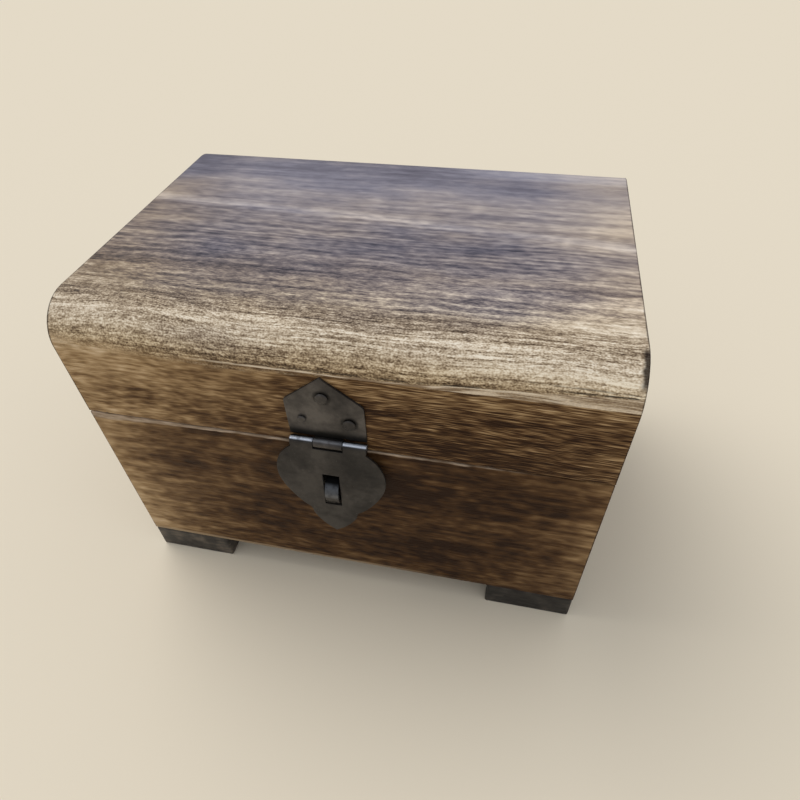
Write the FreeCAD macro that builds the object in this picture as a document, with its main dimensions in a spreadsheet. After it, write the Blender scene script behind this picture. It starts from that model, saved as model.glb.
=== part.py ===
import FreeCAD, Part
import os
import Sketcher
from math import atan2, cos, radians, sin, sqrt
from types import SimpleNamespace

# A small wooden chest with a hinged lid and a heart-shaped hasp.
#
# The chest stands on four block feet. Its front is at -Y, its lid opens at the front
# and turns back about two small hinges on the rear. +Z is up and the feet stand at
# Z = 0. X = 0 and Y = 0 are the middle of everything, hasp and hinges included.
#
# Sizes are in millimetres and live in the sheet "Sizes". Every outline, pad, pocket
# and placement below is bound to those cells.

doc = FreeCAD.newDocument("DiceStorageChest")

SIZES = [
    ("width", 152.0, "chest, end to end"),
    ("depth", 110.0, "chest, front face to back face"),
    ("seam_height", 73.0, "floor to the middle of the joint between lid and body"),
    ("lid_height", 37.0, "middle of that joint to the top of the closed lid"),
    ("seam_gap", 0.3, "opening of that joint when the lid is shut"),
    ("wall", 8.0, "thickness of the upright boards"),
    ("top_thickness", 7.0, "thickness of the board that closes the lid"),
    ("floor_thickness", 4.0, "thickness of the floor panel between the walls"),
    ("lid_rounding", 12.0, "radius along the lid's front and back top edges"),
    ("arris", 0.5, "flat taken off the sharp outer edges of the boards"),
    ("foot_height", 10.8, "floor to the underside of the body"),
    ("foot_length", 28.5, "foot, along the front"),
    ("foot_depth", 24.0, "foot, front to back"),
    ("foot_ease", 0.9, "flat around the sole of a foot"),
    ("nail_head", 3.4, "diameter of a nail head"),
    ("nail_head_height", 0.6, "how far a head stands off its plate"),
    ("nail_head_angle", 36.0, "degrees that the side of a head leans in"),
    ("nail_shank", 1.2, "diameter of a nail's shank"),
    ("nail_length", 6.8, "shank, from under the head to the point"),
    ("nail_play", 0.1, "room round a shank in its metal plate, on each side"),
    ("pilot_play", 0.02, "room round a shank in its pilot hole, on each side"),
    ("pin_diameter", 1.3, "wire that the hasp and the hinges turn on"),
    ("pin_play", 0.05, "room round that wire in its knuckles, on each side"),
    ("knuckle_gap", 0.25, "room between neighbouring knuckles"),
    ("curl_slit", 0.15, "slit where the curl of a knuckle ends at its plate"),
    ("hasp_middle", -0.4, "hasp, off the middle of the chest"),
    ("hasp_rise", 2.3, "hasp pin, above the joint between lid and body"),
    ("hasp_sheet", 0.7, "sheet of the leaf on the lid"),
    ("hasp_barrel", 21.8, "length of the hasp's three knuckles"),
    ("hasp_middle_knuckle", 8.2, "length of the middle one, on the leaf"),
    ("leaf_width", 21.8, "leaf on the lid, side to side"),
    ("leaf_foot", 2.0, "its lower edge beside that knuckle, above the pin"),
    ("leaf_shoulder", 14.8, "its shoulders, above the pin"),
    ("leaf_peak", 23.6, "its peak, above the pin"),
    ("leaf_corner", 1.2, "radius of its shoulders"),
    ("leaf_low_nails", 8.4, "its two lower nails, above the pin"),
    ("leaf_nail_spread", 13.2, "distance between those two"),
    ("leaf_top_nail", 17.0, "its single upper nail, above the pin"),
    ("heart_sheet", 0.6, "sheet of the heart plate"),
    ("heart_angle", 5.5, "degrees that the shut heart stands out from plumb"),
    ("heart_width", 32.2, "heart, widest"),
    ("heart_top_width", 21.0, "heart, along its upper edge under the knuckles"),
    ("heart_cheek", 15.8, "lower end of its round cheeks, below the pin"),
    ("heart_cheek_inset", 0.8, "how much narrower the heart is there, each side"),
    ("heart_cheek_radius", 11.7, "radius of the cheeks"),
    ("heart_flank_radius", 26.0, "radius of the flanks under the cheeks"),
    ("heart_step", 25.4, "step between flanks and lower lobe, below the pin"),
    ("heart_step_width", 17.0, "heart, side to side at the step"),
    ("heart_step_radius", 3.0, "hollow radius of the step"),
    ("heart_step_length", 3.0, "height of the step"),
    ("heart_lobe_width", 13.6, "lower lobe, side to side"),
    ("heart_lobe_radius", 18.0, "radius of the lobe's two sides"),
    ("heart_length", 35.4, "tip of the heart, below the pin"),
    ("slot_play_side", 0.55, "slot of the heart beyond the bridge, each side"),
    ("slot_play_below", 0.3, "slot beyond the bridge at its lower end"),
    ("slot_play_above", 3.9, "slot beyond the bridge at its upper end"),
    ("catch_sheet", 0.8, "sheet of the catch plate"),
    ("catch_drop", 16.9, "middle of the catch, below the joint of lid and body"),
    ("catch_width", 11.0, "catch plate, side to side"),
    ("catch_length", 22.4, "catch plate, top to bottom"),
    ("catch_corner", 2.0, "radius of its corners"),
    ("catch_nail_spread", 17.2, "distance between its two nails"),
    ("bridge_width", 4.0, "width of the bridge pressed out of the catch plate"),
    ("bridge_reach", 5.7, "how far the bridge stands off the wood"),
    ("bridge_relief", 0.2, "shear gap beside and behind the bridge"),
    ("hinge_inset", 30.0, "middle of a rear hinge, from the end of the chest"),
    ("hinge_sheet", 0.8, "sheet of the rear hinges"),
    ("hinge_width", 18.0, "rear hinge, side to side"),
    ("hinge_middle_knuckle", 6.0, "length of the knuckle of the lid leaf"),
    ("hinge_reach", 9.0, "leaf of a rear hinge, beyond the pin"),
    ("hinge_corner", 1.5, "radius of a leaf's corners"),
    ("hinge_nail_reach", 5.4, "nails of a leaf, beyond the pin"),
    ("hinge_nail_spread", 10.4, "distance between the two nails of a leaf"),
]

sheet = doc.addObject("Spreadsheet::Sheet", "Sizes")
for row, (alias, amount, meaning) in enumerate(SIZES, start=1):
    sheet.set(f"A{row}", meaning)
    sheet.set(f"B{row}", str(amount))
    sheet.setAlias(f"B{row}", alias)
doc.recompute()


class Size:
    """A measure that knows its number and the sheet formula it comes from."""

    def __init__(self, number, formula=None):
        self.number = float(number)
        self.formula = formula if formula else f"({self.number})"

    def __add__(self, other):
        other = as_size(other)
        return Size(self.number + other.number, f"({self.formula} + {other.formula})")

    def __sub__(self, other):
        other = as_size(other)
        return Size(self.number - other.number, f"({self.formula} - {other.formula})")

    def __mul__(self, other):
        other = as_size(other)
        return Size(self.number * other.number, f"({self.formula} * {other.formula})")

    def __truediv__(self, other):
        other = as_size(other)
        return Size(self.number / other.number, f"({self.formula} / {other.formula})")

    def __neg__(self):
        return Size(0) - self


def as_size(thing):
    return thing if isinstance(thing, Size) else Size(thing)


def root(size):
    return Size(sqrt(size.number), f"sqrt({size.formula})")


def sine(angle):
    return Size(sin(radians(angle.number)), f"sin({angle.formula} * 1 deg)")


def cosine(angle):
    return Size(cos(radians(angle.number)), f"cos({angle.formula} * 1 deg)")


s = SimpleNamespace(**{alias: Size(amount, f"Sizes.{alias}") for alias, amount, _ in SIZES})


# --- Ways of drawing and making, shared by all the pieces ---------------------------


def new_body(label, turn, x, y, z):
    """Start a piece at a place in the chest, turned by a FreeCAD rotation."""
    body = doc.addObject("PartDesign::Body", label)
    body.Label = label
    body.Placement = FreeCAD.Placement(FreeCAD.Vector(), turn)
    for axis, place in zip("xyz", (x, y, z)):
        body.setExpression(f"Placement.Base.{axis}", as_size(place).formula)
    return body


def new_sketch(body, role, lift=None):
    """Lay a sketch on an origin plane of its body, or lifted off it along its normal."""
    plane = next(o for o in body.Origin.OriginFeatures if o.Role == role)
    sketch = body.newObject("Sketcher::SketchObject", body.Label + "_sketch")
    sketch.AttachmentSupport = [(plane, "")]
    sketch.MapMode = "FlatFace"
    if lift:
        sketch.setExpression("AttachmentOffset.Base.z", lift.formula)
    return sketch


def dimension(sketch, kind, size, *where):
    """Add one driving dimension to a sketch and bind it to the sheet."""
    number = sketch.addConstraint(Sketcher.Constraint(kind, *where, size.number))
    sketch.setExpression(f"Constraints[{number}]", size.formula)


def outline(sketch, start, legs):
    """Draw a closed outline of straight legs and short arcs.

    A leg (x, y) is a line to that point. A leg (x, y, radius) is an arc whose centre
    lies to the left of the travel, or to the right if the radius is negative.
    """
    corners = [start] + [leg[:2] for leg in legs]
    corners = [(as_size(x), as_size(y)) for x, y in corners]
    ends = []
    for (x0, y0), (x1, y1), leg in zip(corners, corners[1:], legs):
        here = FreeCAD.Vector(x0.number, y0.number)
        there = FreeCAD.Vector(x1.number, y1.number)
        if len(leg) == 2:
            piece = sketch.addGeometry(Part.LineSegment(here, there))
            ends.append((piece, 1, 2))
            continue
        radius = leg[2].number
        along = there - here
        rise = sqrt(radius * radius - along.Length**2 / 4)
        left = FreeCAD.Vector(-along.y, along.x).normalize()
        centre = (here + there) / 2 + left * (rise if radius > 0 else -rise)
        first, last = (here, there) if radius > 0 else (there, here)
        angles = [atan2(p.y - centre.y, p.x - centre.x) for p in (first, last)]
        circle = Part.Circle(centre, FreeCAD.Vector(0, 0, 1), abs(radius))
        piece = sketch.addGeometry(Part.ArcOfCircle(circle, *angles))
        ends.append((piece, 1, 2) if radius > 0 else (piece, 2, 1))
        dimension(sketch, "Radius", leg[2] if radius > 0 else -leg[2], piece)
    for before, after in zip(ends, ends[1:] + ends[:1]):
        sketch.addConstraint(
            Sketcher.Constraint("Coincident", before[0], before[2], after[0], after[1])
        )
    for (x, y), (piece, first, _) in zip(corners, ends):
        dimension(sketch, "DistanceX", x, -1, 1, piece, first)
        dimension(sketch, "DistanceY", y, -1, 1, piece, first)


def with_mirror(start, legs):
    """Complete the right half of a symmetric outline by its left half."""
    half = [start] + legs
    back = [] if as_size(half[-1][0]).number == 0 else [(-as_size(half[-1][0]), half[-1][1])]
    for here, before in zip(half[:0:-1], half[-2::-1]):
        back.append((-as_size(before[0]), before[1]) + tuple(here[2:]))
    if as_size(start[0]).number:
        back.append(start[:2])
    return start, legs + back


def rectangle(half_width, low, high, radius=None):
    """An upright rectangle about x = 0, its corners rounded if a radius is given."""
    if radius is None:
        return with_mirror((half_width, low), [(half_width, high)])
    side = [
        (half_width, low + radius, radius),
        (half_width, high - radius),
        (half_width - radius, high, radius),
    ]
    return with_mirror((half_width - radius, low), side)


def circles(sketch, diameter, places):
    """Draw one circle at each place."""
    for x, y in places:
        centre = FreeCAD.Vector(x.number, y.number)
        circle = Part.Circle(centre, FreeCAD.Vector(0, 0, 1), diameter.number / 2)
        piece = sketch.addGeometry(circle)
        dimension(sketch, "Diameter", diameter, piece)
        dimension(sketch, "DistanceX", x, -1, 1, piece, 3)
        dimension(sketch, "DistanceY", y, -1, 1, piece, 3)


def extrude(body, kind, sketch, length, side="One side", backwards=False, taper=None):
    """Pad or pocket a sketch by a length, and see that it changed the piece."""
    doc.recompute()
    before = 0 if body.Shape.isNull() else body.Shape.Volume
    feature = body.newObject(f"PartDesign::{kind}", f"{body.Label}_{kind}")
    feature.Profile = sketch
    feature.SideType = side
    feature.Reversed = backwards
    feature.setExpression("Length", length.formula)
    if taper:
        feature.setExpression("TaperAngle", taper.formula)
    doc.recompute()
    if abs(body.Shape.Volume - before) < 1e-6:
        raise RuntimeError(f"{feature.Label} changed nothing")


def bevel(body, size, wanted):
    """Chamfer the edges whose ends and middle all pass the test."""
    doc.recompute()
    base = body.Tip
    names = []
    for number, edge in enumerate(base.Shape.Edges, start=1):
        first, last = edge.ParameterRange
        points = [edge.valueAt(first + (last - first) * t) for t in (0.0, 0.5, 1.0)]
        if all(wanted(point) for point in points):
            names.append(f"Edge{number}")
    if not names:
        raise RuntimeError(f"{body.Label} has no edge to bevel")
    feature = body.newObject("PartDesign::Chamfer", body.Label + "_bevel")
    feature.Base = (base, names)
    feature.setExpression("Size", size.formula)
    doc.recompute()


def near(a, b):
    return abs(a - b) < 1e-4


def turned(axis, degrees):
    return FreeCAD.Rotation(FreeCAD.Vector(*axis), degrees)


SQUARE_ON = turned((0, 0, 1), 0)
HALF_TURN = turned((0, 0, 1), 180)
UPSIDE_DOWN_DEGREES = 180
UPSIDE_DOWN = turned((1, 0, 0), UPSIDE_DOWN_DEGREES)

# Places that several pieces share. The chest is set back by half of what its hasp
# stands out more than its hinges, so that the whole is centred on Y = 0.
bore = s.pin_diameter / 2 + s.pin_play
hasp_pin_off = bore + s.hasp_sheet
hinge_pin_off = bore + s.hinge_sheet
heart_curl = bore + s.heart_sheet
hasp_stands_out = (
    hasp_pin_off + s.heart_length * sine(s.heart_angle) + heart_curl * cosine(s.heart_angle)
)
setback = (hasp_stands_out - hinge_pin_off - hinge_pin_off) / 2
front_face = setback - s.depth / 2
back_face = setback + s.depth / 2
height = s.seam_height + s.lid_height
body_top = s.seam_height - s.seam_gap / 2
lid_base = s.seam_height + s.seam_gap / 2
hasp_pin_height = s.seam_height + s.hasp_rise
inside_depth = s.depth - s.wall - s.wall
lid_wall_height = height - s.top_thickness - lid_base

# A cut of this length, half to each side of a leaf's pin, goes right through the leaf.
through = s.wall + s.wall


# --- Boards: the body, the lid and the feet ------------------------------------------
# Upright boards are drawn with their outer face on local Y = 0 and their lower edge on
# local Z = 0, and turned to their side of the chest. The long front and back boards lap
# over the ends of the short ones, with glued butt joints.


def pilot_holes(board, places):
    """Drill blind holes for nails into the outer face of a board."""
    sketch = new_sketch(board, "XZ_Plane")
    circles(sketch, s.nail_shank + s.pilot_play + s.pilot_play, places)
    extrude(board, "Pocket", sketch, s.nail_length)


def long_wall(label, turn, face):
    """A front or back board of the body, as long as the chest."""
    board = new_body(label, turn, 0, face, s.foot_height)
    sketch = new_sketch(board, "YZ_Plane")
    top = body_top - s.foot_height
    outline(sketch, (0, 0), [(s.wall, 0), (s.wall, top), (0, top), (0, 0)])
    extrude(board, "Pad", sketch, s.width, side="Symmetric")
    bevel(board, s.arris, lambda p: not near(p.y, s.wall.number))
    return board


def end_wall(label, side, base, rise, seam_at):
    """A board between the long ones, at the left (-1) or right (+1) end.

    Its outer edge at the seam, which is seam_at above its base, loses its arris."""
    turn = turned((0, 0, 1), 90 * side)
    board = new_body(label, turn, s.width / 2 * side, setback, base)
    sketch = new_sketch(board, "YZ_Plane")
    outline(sketch, (0, 0), [(s.wall, 0), (s.wall, rise), (0, rise), (0, 0)])
    extrude(board, "Pad", sketch, inside_depth, side="Symmetric")
    bevel(board, s.arris, lambda p: near(p.y, 0) and near(p.z, seam_at))


def lid_rail(label, turn, face):
    """A front or back board of the lid, whose outer face runs into the rounding."""
    board = new_body(label, turn, 0, face, lid_base)
    sketch = new_sketch(board, "YZ_Plane")
    bend = height - s.lid_rounding - lid_base
    side = [
        (s.wall, 0),
        (s.wall, lid_wall_height),
        (rounding_inset, lid_wall_height),
        (0, bend, s.lid_rounding),
        (0, 0),
    ]
    outline(sketch, (0, 0), side)
    extrude(board, "Pad", sketch, s.width, side="Symmetric")
    inner, joint = s.wall.number, lid_wall_height.number
    bevel(
        board,
        s.arris,
        lambda p: not near(p.y, inner) and p.z < joint + 1e-4 and not on_joint(p, joint),
    )
    return board


def on_joint(point, joint):
    """Whether a point of a rail lies on the glued joint, away from the outer surface."""
    return near(point.z, joint) and point.y > rounding_inset.number + 1e-4


# The rounding crosses the joint between rail and top board, which lies this far in from
# the face of the rail.
rise_to_joint = s.lid_rounding - s.top_thickness
rounding_inset = s.lid_rounding - root(
    s.lid_rounding * s.lid_rounding - rise_to_joint * rise_to_joint
)

body_front = long_wall("body_front_board", SQUARE_ON, front_face)
body_back = long_wall("body_back_board", HALF_TURN, back_face)
body_wall_height = body_top - s.foot_height
end_wall("body_left_end", -1, s.foot_height, body_wall_height, body_wall_height.number)
end_wall("body_right_end", 1, s.foot_height, body_wall_height, body_wall_height.number)

floor_panel = new_body("body_floor", SQUARE_ON, 0, setback, s.foot_height)
floor_sketch = new_sketch(floor_panel, "XY_Plane")
outline(
    floor_sketch, *rectangle(s.width / 2 - s.wall, -inside_depth / 2, inside_depth / 2)
)
extrude(floor_panel, "Pad", floor_sketch, s.floor_thickness)

lid_front = lid_rail("lid_front_rail", SQUARE_ON, front_face)
lid_back = lid_rail("lid_back_rail", HALF_TURN, back_face)
end_wall("lid_left_end", -1, lid_base, lid_wall_height, 0)
end_wall("lid_right_end", 1, lid_base, lid_wall_height, 0)

# The top board covers all four walls of the lid. Its long edges carry the upper part
# of the rounding, down to the joint.
lid_top = new_body("lid_top_board", SQUARE_ON, 0, setback, height - s.top_thickness)
lid_top_sketch = new_sketch(lid_top, "YZ_Plane")
lid_top_profile = with_mirror(
    (s.depth / 2 - rounding_inset, 0),
    [(s.depth / 2 - s.lid_rounding, s.top_thickness, s.lid_rounding)],
)
outline(lid_top_sketch, *lid_top_profile)
extrude(lid_top, "Pad", lid_top_sketch, s.width, side="Symmetric")
bevel(lid_top, s.arris, lambda p: near(abs(p.x), s.width.number / 2) and p.z > 1e-4)

# Feet: blocks flush with the front, the back and the ends.
for place, side_x, side_y in (
    ("front_left", -1, -1),
    ("front_right", 1, -1),
    ("rear_left", -1, 1),
    ("rear_right", 1, 1),
):
    foot_x = (s.width - s.foot_length) / 2 * side_x
    foot_y = setback + (s.depth - s.foot_depth) / 2 * side_y
    foot = new_body(f"foot_{place}", SQUARE_ON, foot_x, foot_y, 0)
    foot_sketch = new_sketch(foot, "XY_Plane")
    outline(foot_sketch, *rectangle(s.foot_length / 2, -s.foot_depth / 2, s.foot_depth / 2))
    extrude(foot, "Pad", foot_sketch, s.foot_height)
    bevel(foot, s.foot_ease, lambda p: near(p.z, 0))


# --- Leaves: sheet metal with curled knuckles ----------------------------------------
# A leaf is drawn about its pin, which runs along local X. Its flat lies behind the pin,
# against the wood, and reaches up. Its lower edge is curled forward round the pin.


def curl(leaf, sheet_size, length):
    """Curl the lower edge of a leaf round the pin: a ring that stays open by a slit."""
    outer = bore + sheet_size
    root_height = outer + s.curl_slit
    end_y = bore - s.curl_slit
    end_z = root(outer * outer - end_y * end_y)
    sketch = new_sketch(leaf, "YZ_Plane")
    legs = [
        (bore, 0),
        (0, -bore, -bore),
        (-bore, 0, -bore),
        (0, bore, -bore),
        (end_y * bore / outer, end_z * bore / outer, -bore),
        (end_y, end_z),
        (0, outer, outer),
        (-outer, 0, outer),
        (0, -outer, outer),
        (outer, 0, outer),
        (outer, root_height),
        (bore, root_height),
    ]
    outline(sketch, (bore, root_height), legs)
    extrude(leaf, "Pad", sketch, length, side="Symmetric")


def flat(leaf, sheet_size, shape):
    """Lay the flat of a leaf behind the pin, with its back at the curl's radius."""
    sketch = new_sketch(leaf, "XZ_Plane", lift=-(bore + sheet_size))
    outline(sketch, *shape)
    extrude(leaf, "Pad", sketch, sheet_size)


def middle_notch(leaf, sheet_size, knuckle):
    """Part the curl into two outer knuckles, with room for the middle one between."""
    reach = bore + sheet_size
    notch = rectangle(knuckle / 2 + s.knuckle_gap, -through, reach + s.knuckle_gap)
    sketch = new_sketch(leaf, "XZ_Plane")
    outline(sketch, *notch)
    extrude(leaf, "Pocket", sketch, through, side="Symmetric")


def nail_holes(leaf, places):
    sketch = new_sketch(leaf, "XZ_Plane")
    circles(sketch, s.nail_shank + s.nail_play + s.nail_play, places)
    extrude(leaf, "Pocket", sketch, through, side="Symmetric")


def nails(label, turn, x, face, z, sheet_size, places):
    """A set of like nails with low tapered heads, driven through a leaf into the wood."""
    group = new_body(label, turn, x, face, z)
    shanks = new_sketch(group, "XZ_Plane", lift=sheet_size)
    circles(shanks, s.nail_shank, places)
    extrude(group, "Pad", shanks, s.nail_length, backwards=True)
    heads = new_sketch(group, "XZ_Plane", lift=sheet_size)
    circles(heads, s.nail_head, places)
    extrude(group, "Pad", heads, s.nail_head_height, taper=-s.nail_head_angle)


def pin(label, x, y, z, length):
    wire = new_body(label, SQUARE_ON, x, y, z)
    sketch = new_sketch(wire, "YZ_Plane")
    circles(sketch, s.pin_diameter, [(Size(0), Size(0))])
    extrude(wire, "Pad", sketch, length, side="Symmetric")


# --- Hasp: upper leaf, pin and heart --------------------------------------------------

hasp_pin_y = front_face - hasp_pin_off
leaf_nail_places = [
    (-s.leaf_nail_spread / 2, s.leaf_low_nails),
    (s.leaf_nail_spread / 2, s.leaf_low_nails),
    (Size(0), s.leaf_top_nail),
]

# The leaf on the lid is house-shaped: straight sides, eased shoulders and a peak. A
# tongue in the middle of its lower edge is curled into the middle knuckle.
upper_leaf = new_body("hasp_upper_leaf", SQUARE_ON, s.hasp_middle, hasp_pin_y, hasp_pin_height)
gable_rise = s.leaf_peak - s.leaf_shoulder
gable_length = root(s.leaf_width * s.leaf_width / 4 + gable_rise * gable_rise)
tongue = s.hasp_middle_knuckle / 2
house = with_mirror(
    (tongue, 0),
    [
        (tongue, s.leaf_foot),
        (s.leaf_width / 2, s.leaf_foot),
        (s.leaf_width / 2, s.leaf_shoulder - s.leaf_corner / 2),
        (
            s.leaf_width / 2 * (Size(1) - s.leaf_corner / 2 / gable_length),
            s.leaf_shoulder + gable_rise * s.leaf_corner / 2 / gable_length,
            s.leaf_corner,
        ),
        (Size(0), s.leaf_peak),
    ],
)
flat(upper_leaf, s.hasp_sheet, house)
curl(upper_leaf, s.hasp_sheet, s.hasp_middle_knuckle)
nail_holes(upper_leaf, leaf_nail_places)
nails(
    "hasp_nails",
    SQUARE_ON,
    s.hasp_middle,
    front_face,
    hasp_pin_height,
    s.hasp_sheet,
    leaf_nail_places,
)
pin("hasp_pin", s.hasp_middle, hasp_pin_y, hasp_pin_height, s.hasp_barrel)
lid_front_nails = [
    (x + s.hasp_middle, y + hasp_pin_height - lid_base) for x, y in leaf_nail_places
]
pilot_holes(lid_front, lid_front_nails)

# The heart hangs by its two outer knuckles. It is the same kind of leaf turned upside
# down, so its flat lies in front of the pin. It leans out where the lower end of its
# slot rides on the bridge of the catch.
heart = new_body("hasp_heart_plate", UPSIDE_DOWN, s.hasp_middle, hasp_pin_y, hasp_pin_height)
heart_turn = Size(UPSIDE_DOWN_DEGREES) - s.heart_angle
heart.setExpression("Placement.Rotation.Angle", heart_turn.formula)
heart_top = hasp_pin_off
half_heart = [
    (s.hasp_barrel / 2, 0),
    (s.hasp_barrel / 2, heart_top),
    (s.heart_top_width / 2, heart_top),
    (s.heart_width / 2 - s.heart_cheek_inset, s.heart_cheek, s.heart_cheek_radius),
    (s.heart_step_width / 2, s.heart_step, s.heart_flank_radius),
    (s.heart_lobe_width / 2, s.heart_step + s.heart_step_length, -s.heart_step_radius),
    (Size(0), s.heart_length, s.heart_lobe_radius),
]
flat(heart, s.heart_sheet, with_mirror(half_heart[0], half_heart[1:]))
curl(heart, s.heart_sheet, s.hasp_barrel)
middle_notch(heart, s.heart_sheet, s.hasp_middle_knuckle)

# The slot takes the bridge where the bridge passes the back of the leaning heart.
catch_below_pin = s.hasp_rise + s.catch_drop
heart_back_off = (
    hasp_pin_off + bore * cosine(s.heart_angle) + catch_below_pin * sine(s.heart_angle)
)
bridge_half = root(s.bridge_reach * s.bridge_reach - heart_back_off * heart_back_off)
slot_start = catch_below_pin - bridge_half - s.slot_play_above
slot_end = catch_below_pin + bridge_half + s.slot_play_below
slot_sketch = new_sketch(heart, "XZ_Plane")
outline(slot_sketch, *rectangle(s.bridge_width / 2 + s.slot_play_side, slot_start, slot_end))
extrude(heart, "Pocket", slot_sketch, through, side="Symmetric")

# Catch plate: two nails hold it to the body, and a strip pressed out of its middle
# makes a round bridge.
catch_height = s.seam_height - s.catch_drop
catch = new_body("catch_plate", SQUARE_ON, s.hasp_middle, front_face, catch_height)
catch_sketch = new_sketch(catch, "XZ_Plane")
catch_half = s.catch_length / 2
outline(catch_sketch, *rectangle(s.catch_width / 2, -catch_half, catch_half, s.catch_corner))
extrude(catch, "Pad", catch_sketch, s.catch_sheet)
window_sketch = new_sketch(catch, "XZ_Plane")
window_half = s.bridge_reach - s.catch_sheet
window_width = s.bridge_width / 2 + s.bridge_relief
outline(window_sketch, *rectangle(window_width, -window_half, window_half))
extrude(catch, "Pocket", window_sketch, through, side="Symmetric")
bridge_sketch = new_sketch(catch, "YZ_Plane")
bridge_inside = s.bridge_reach - s.catch_sheet
bridge_legs = [
    (0, -s.bridge_reach),
    (0, -bridge_inside),
    (-bridge_inside, 0, -bridge_inside),
    (0, bridge_inside, -bridge_inside),
    (0, s.bridge_reach),
    (-s.bridge_reach, 0, s.bridge_reach),
    (0, -s.bridge_reach, s.bridge_reach),
]
outline(bridge_sketch, bridge_legs[0], bridge_legs[1:])
extrude(catch, "Pad", bridge_sketch, s.bridge_width, side="Symmetric")
catch_nail_places = [
    (Size(0), -s.catch_nail_spread / 2),
    (Size(0), s.catch_nail_spread / 2),
]
nail_holes(catch, catch_nail_places)
nails(
    "catch_nails",
    SQUARE_ON,
    s.hasp_middle,
    front_face,
    catch_height,
    s.catch_sheet,
    catch_nail_places,
)
pilot_holes(
    body_front,
    [(x + s.hasp_middle, y + catch_height - s.foot_height) for x, y in catch_nail_places],
)


# --- Rear hinges ----------------------------------------------------------------------
# Two small butt hinges on the back face, with their pins in line at the seam. The body
# leaf has the outer knuckles, the lid leaf has the middle one.

hinge_pin_y = back_face + hinge_pin_off
nail_x = s.hinge_nail_spread / 2
lid_leaf_nails = [(-nail_x, s.hinge_nail_reach), (nail_x, s.hinge_nail_reach)]
body_leaf_nails = [(-nail_x, -s.hinge_nail_reach), (nail_x, -s.hinge_nail_reach)]
half_leaf = s.hinge_width / 2
leaf_top = [
    (half_leaf, s.hinge_reach - s.hinge_corner),
    (half_leaf - s.hinge_corner, s.hinge_reach, s.hinge_corner),
]

for place, side in (("left", -1), ("right", 1)):
    hinge_x = (s.width / 2 - s.hinge_inset) * side
    lid_leaf = new_body(
        f"hinge_{place}_lid_leaf", HALF_TURN, hinge_x, hinge_pin_y, s.seam_height
    )
    tab = s.hinge_middle_knuckle / 2
    tab_top = hinge_pin_off + s.knuckle_gap
    stepped = with_mirror((tab, 0), [(tab, tab_top), (half_leaf, tab_top)] + leaf_top)
    flat(lid_leaf, s.hinge_sheet, stepped)
    curl(lid_leaf, s.hinge_sheet, s.hinge_middle_knuckle)
    nail_holes(lid_leaf, lid_leaf_nails)

    body_leaf = new_body(
        f"hinge_{place}_body_leaf",
        UPSIDE_DOWN,
        hinge_x,
        hinge_pin_y,
        s.seam_height,
    )
    flat(body_leaf, s.hinge_sheet, with_mirror((half_leaf, 0), leaf_top))
    curl(body_leaf, s.hinge_sheet, s.hinge_width)
    middle_notch(body_leaf, s.hinge_sheet, s.hinge_middle_knuckle)
    nail_holes(body_leaf, lid_leaf_nails)
    pin(f"hinge_{place}_pin", hinge_x, hinge_pin_y, s.seam_height, s.hinge_width)

hinge_xs = (s.hinge_inset - s.width / 2, s.width / 2 - s.hinge_inset)
lid_hinge_nails = [(x + hinge, y) for hinge in hinge_xs for x, y in lid_leaf_nails]
body_hinge_nails = [(x + hinge, y) for hinge in hinge_xs for x, y in body_leaf_nails]
for label, places, board, base in (
    ("hinge_lid_nails", lid_hinge_nails, lid_back, lid_base),
    ("hinge_body_nails", body_hinge_nails, body_back, s.foot_height),
):
    nails(label, HALF_TURN, 0, back_face, s.seam_height, s.hinge_sheet, places)
    pilot_holes(board, [(x, y + s.seam_height - base) for x, y in places])


# --- Check every feature and write one STEP file for each piece ----------------------

doc.recompute()
for thing in doc.Objects:
    if "Invalid" in thing.State or "Error" in thing.State:
        raise RuntimeError(f"{thing.Label} could not be built: {thing.State}")

os.makedirs("parts", exist_ok=True)
for piece in doc.Objects:
    if piece.TypeId != "PartDesign::Body":
        continue
    shape = piece.Shape
    if shape.isNull() or not shape.isValid() or not shape.Solids:
        raise RuntimeError(f"{piece.Label} is not a valid solid")
    shape.exportStep(f"parts/{piece.Label}.step")
    print(piece.Label, len(shape.Solids), round(shape.Volume, 2))
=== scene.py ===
import bmesh
import bpy
import numpy as np
from mathutils import Matrix, Vector


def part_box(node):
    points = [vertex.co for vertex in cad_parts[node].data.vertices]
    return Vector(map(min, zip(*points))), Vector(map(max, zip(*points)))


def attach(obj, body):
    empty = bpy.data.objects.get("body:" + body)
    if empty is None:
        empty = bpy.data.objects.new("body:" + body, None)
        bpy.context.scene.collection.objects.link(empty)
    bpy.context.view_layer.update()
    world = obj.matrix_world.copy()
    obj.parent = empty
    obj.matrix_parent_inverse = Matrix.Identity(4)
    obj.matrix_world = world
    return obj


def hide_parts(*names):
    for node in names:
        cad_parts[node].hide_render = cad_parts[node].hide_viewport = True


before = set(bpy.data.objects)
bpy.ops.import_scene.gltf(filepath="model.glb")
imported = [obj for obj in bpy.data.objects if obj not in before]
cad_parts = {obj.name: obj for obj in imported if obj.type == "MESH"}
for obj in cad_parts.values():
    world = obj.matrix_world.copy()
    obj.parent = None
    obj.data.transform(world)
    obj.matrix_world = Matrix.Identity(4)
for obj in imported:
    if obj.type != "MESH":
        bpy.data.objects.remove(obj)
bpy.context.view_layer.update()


# --- Body of the chest ---
# Four upright boards of open-grained wood, butted and glued. Each was sawn, planed and
# torched, so its arrises are a little uneven. The grain runs along each board.

mm = 0.001


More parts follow.
